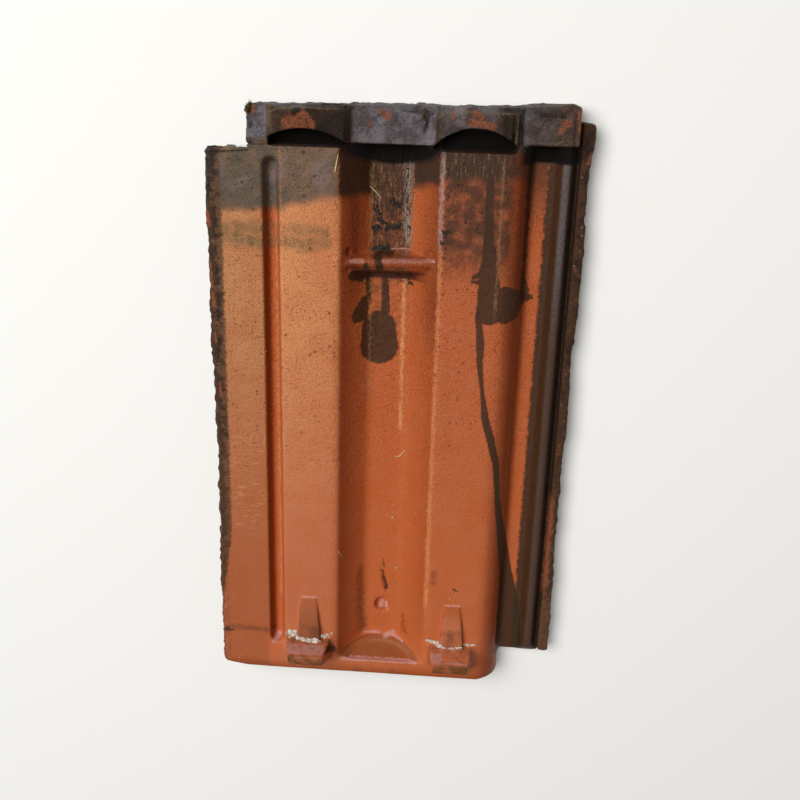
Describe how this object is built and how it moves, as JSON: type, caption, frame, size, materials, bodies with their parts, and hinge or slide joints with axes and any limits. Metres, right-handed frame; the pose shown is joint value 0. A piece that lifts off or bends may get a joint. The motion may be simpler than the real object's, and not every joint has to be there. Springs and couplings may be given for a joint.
{
  "type": "clay roof tile",
  "caption": "Pressed interlocking clay roof tile, underside up: batten nibs, hollow middle rib with a tie bar, side cover roll, under-lock flange and arched foot lip.",
  "frame": {"origin": "centre of the bounding box's bottom, at the top of the middle rib's weather side", "axes": "+Y from the head with the nibs to the foot lip, +X from the under-lock flange to the cover roll, +Z out of the underside, so the tile lies weather side down"},
  "size_m": [0.25, 0.42, 0.054],
  "materials": {
    "fired_clay": "unglazed fired clay, weathered grey at the foot, damp and stained in streaks"
  },
  "bodies": {
    "root": {"clay_tile": "fired_clay"}
  },
  "joints": []
}
